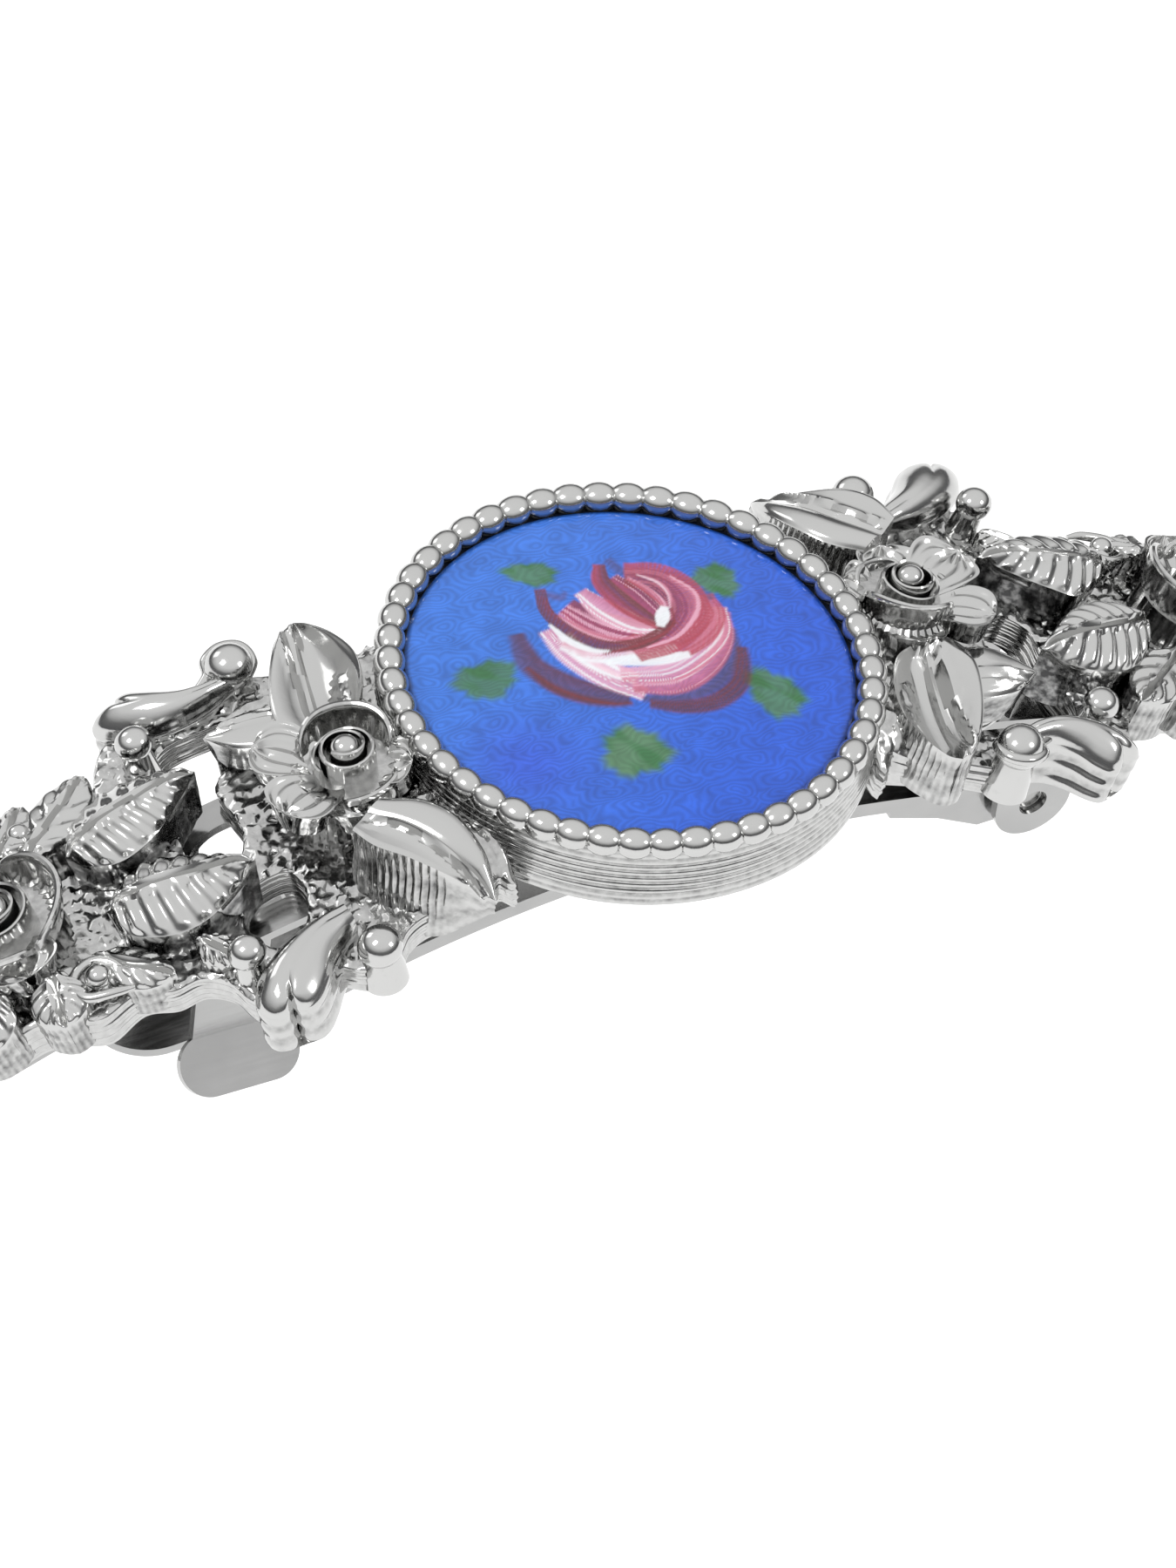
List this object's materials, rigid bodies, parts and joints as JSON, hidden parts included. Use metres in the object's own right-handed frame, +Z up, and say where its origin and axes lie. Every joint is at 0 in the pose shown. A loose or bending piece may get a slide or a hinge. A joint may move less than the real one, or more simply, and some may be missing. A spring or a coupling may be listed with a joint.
{
  "type": "hair barrette",
  "caption": "Arched cast floral hair barrette with a domed enamel medallion in a beaded bezel, on a spring clip with a hinged clasp arm.",
  "frame": {"origin": "under the middle of the medallion, on the plane that the clip's squeeze wings and hinge ears stand on", "axes": "+X along the barrette towards the hinge, +Y towards the back, +Z up out of the enamel"},
  "size_m": [0.085, 0.0256, 0.0167],
  "materials": {
    "plated_casting": "bright silver-tone plating over cast white metal, darkened in the recesses",
    "engine_turned_metal": "wavy engine-turned lines under the enamel",
    "blue_enamel": "glossy translucent blue enamel with a hand-painted rose",
    "dark_cement": "dark setting cement",
    "spring_steel": "polished nickel-plated spring steel sheet",
    "pin_steel": "drawn steel wire"
  },
  "bodies": {
    "ornament": {"ornament_casting": "plated_casting", "guilloche_disc": "engine_turned_metal", "enamel_glass": "blue_enamel", "setting_cement": "dark_cement", "clip_base": "spring_steel", "hinge_pin": "pin_steel"},
    "arm": {"clasp_arm": "spring_steel"},
    "bar": {"tension_bar": "spring_steel"}
  },
  "joints": [
    {"name": "arm_hinge", "type": "hinge", "parent": "ornament", "child": "arm", "pos_m": [0.0227, 0, 0.0022], "axis": [0, -1, 0], "range_deg": [0, 100]},
    {"name": "bar_hinge", "type": "hinge", "parent": "ornament", "child": "bar", "pos_m": [0.0227, 0, 0.0022], "axis": [0, -1, 0], "range_deg": [0, 22]}
  ],
  "couplings": [
    {"joint": "bar_hinge", "follows": "arm_hinge", "ratio": 0.2}
  ]
}
